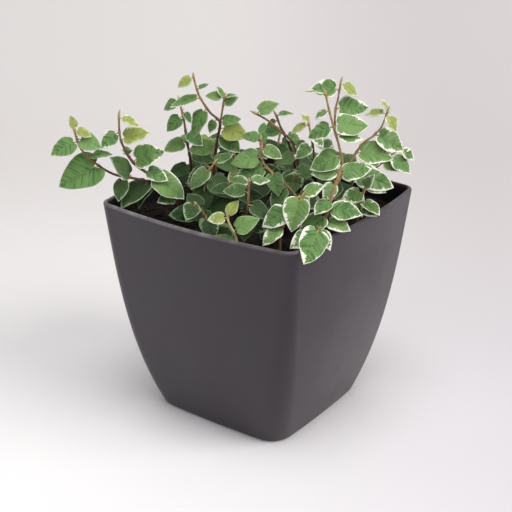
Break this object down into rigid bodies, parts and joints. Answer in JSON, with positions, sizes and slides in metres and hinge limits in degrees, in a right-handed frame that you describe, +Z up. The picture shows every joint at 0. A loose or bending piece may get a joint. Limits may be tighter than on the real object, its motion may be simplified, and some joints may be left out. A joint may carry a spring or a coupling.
{
  "type": "potted creeping fig",
  "caption": "Variegated creeping fig with heart-shaped, pale-edged leaves on thin woody stems, growing in a tapered square pot filled with soil.",
  "frame": {"origin": "middle of the flat underside of the pot", "axes": "+Z up the middle of the pot; the pot's four sides face +X, -X, +Y and -Y, and the picture looks between -Y and +X"},
  "size_m": [0.1508, 0.1545, 0.196],
  "materials": {
    "dark_plastic": "satin anthracite plastic, lighter where light grazes it",
    "potting_soil": "dark, crumbly, rough potting soil",
    "fig_leaf": "satin mid green leaves with irregular cream margins on reddish brown stems"
  },
  "bodies": {
    "root": {"pot": "dark_plastic", "soil": "potting_soil", "stem_right_tall": "fig_leaf", "stem_left_arm": "fig_leaf", "stem_left_upright": "fig_leaf", "stem_rim_hanger": "fig_leaf", "stem_sprout": "fig_leaf", "stem_mid_tall": "fig_leaf", "stem_mid_left": "fig_leaf", "stem_centre_thin": "fig_leaf", "stem_centre_back": "fig_leaf", "stem_centre_right": "fig_leaf", "stem_front_centre": "fig_leaf", "stem_near_corner": "fig_leaf", "stem_right_back": "fig_leaf", "stem_right_corner": "fig_leaf", "stem_right_rim": "fig_leaf", "stem_front_left": "fig_leaf", "stem_low_01": "fig_leaf", "stem_low_02": "fig_leaf", "stem_low_03": "fig_leaf", "stem_low_04": "fig_leaf", "stem_low_05": "fig_leaf", "stem_low_06": "fig_leaf", "stem_low_07": "fig_leaf", "stem_low_08": "fig_leaf", "stem_low_09": "fig_leaf", "stem_low_10": "fig_leaf", "stem_low_11": "fig_leaf", "stem_low_12": "fig_leaf", "stem_low_13": "fig_leaf", "stem_low_14": "fig_leaf", "stem_low_15": "fig_leaf"}
  },
  "joints": []
}
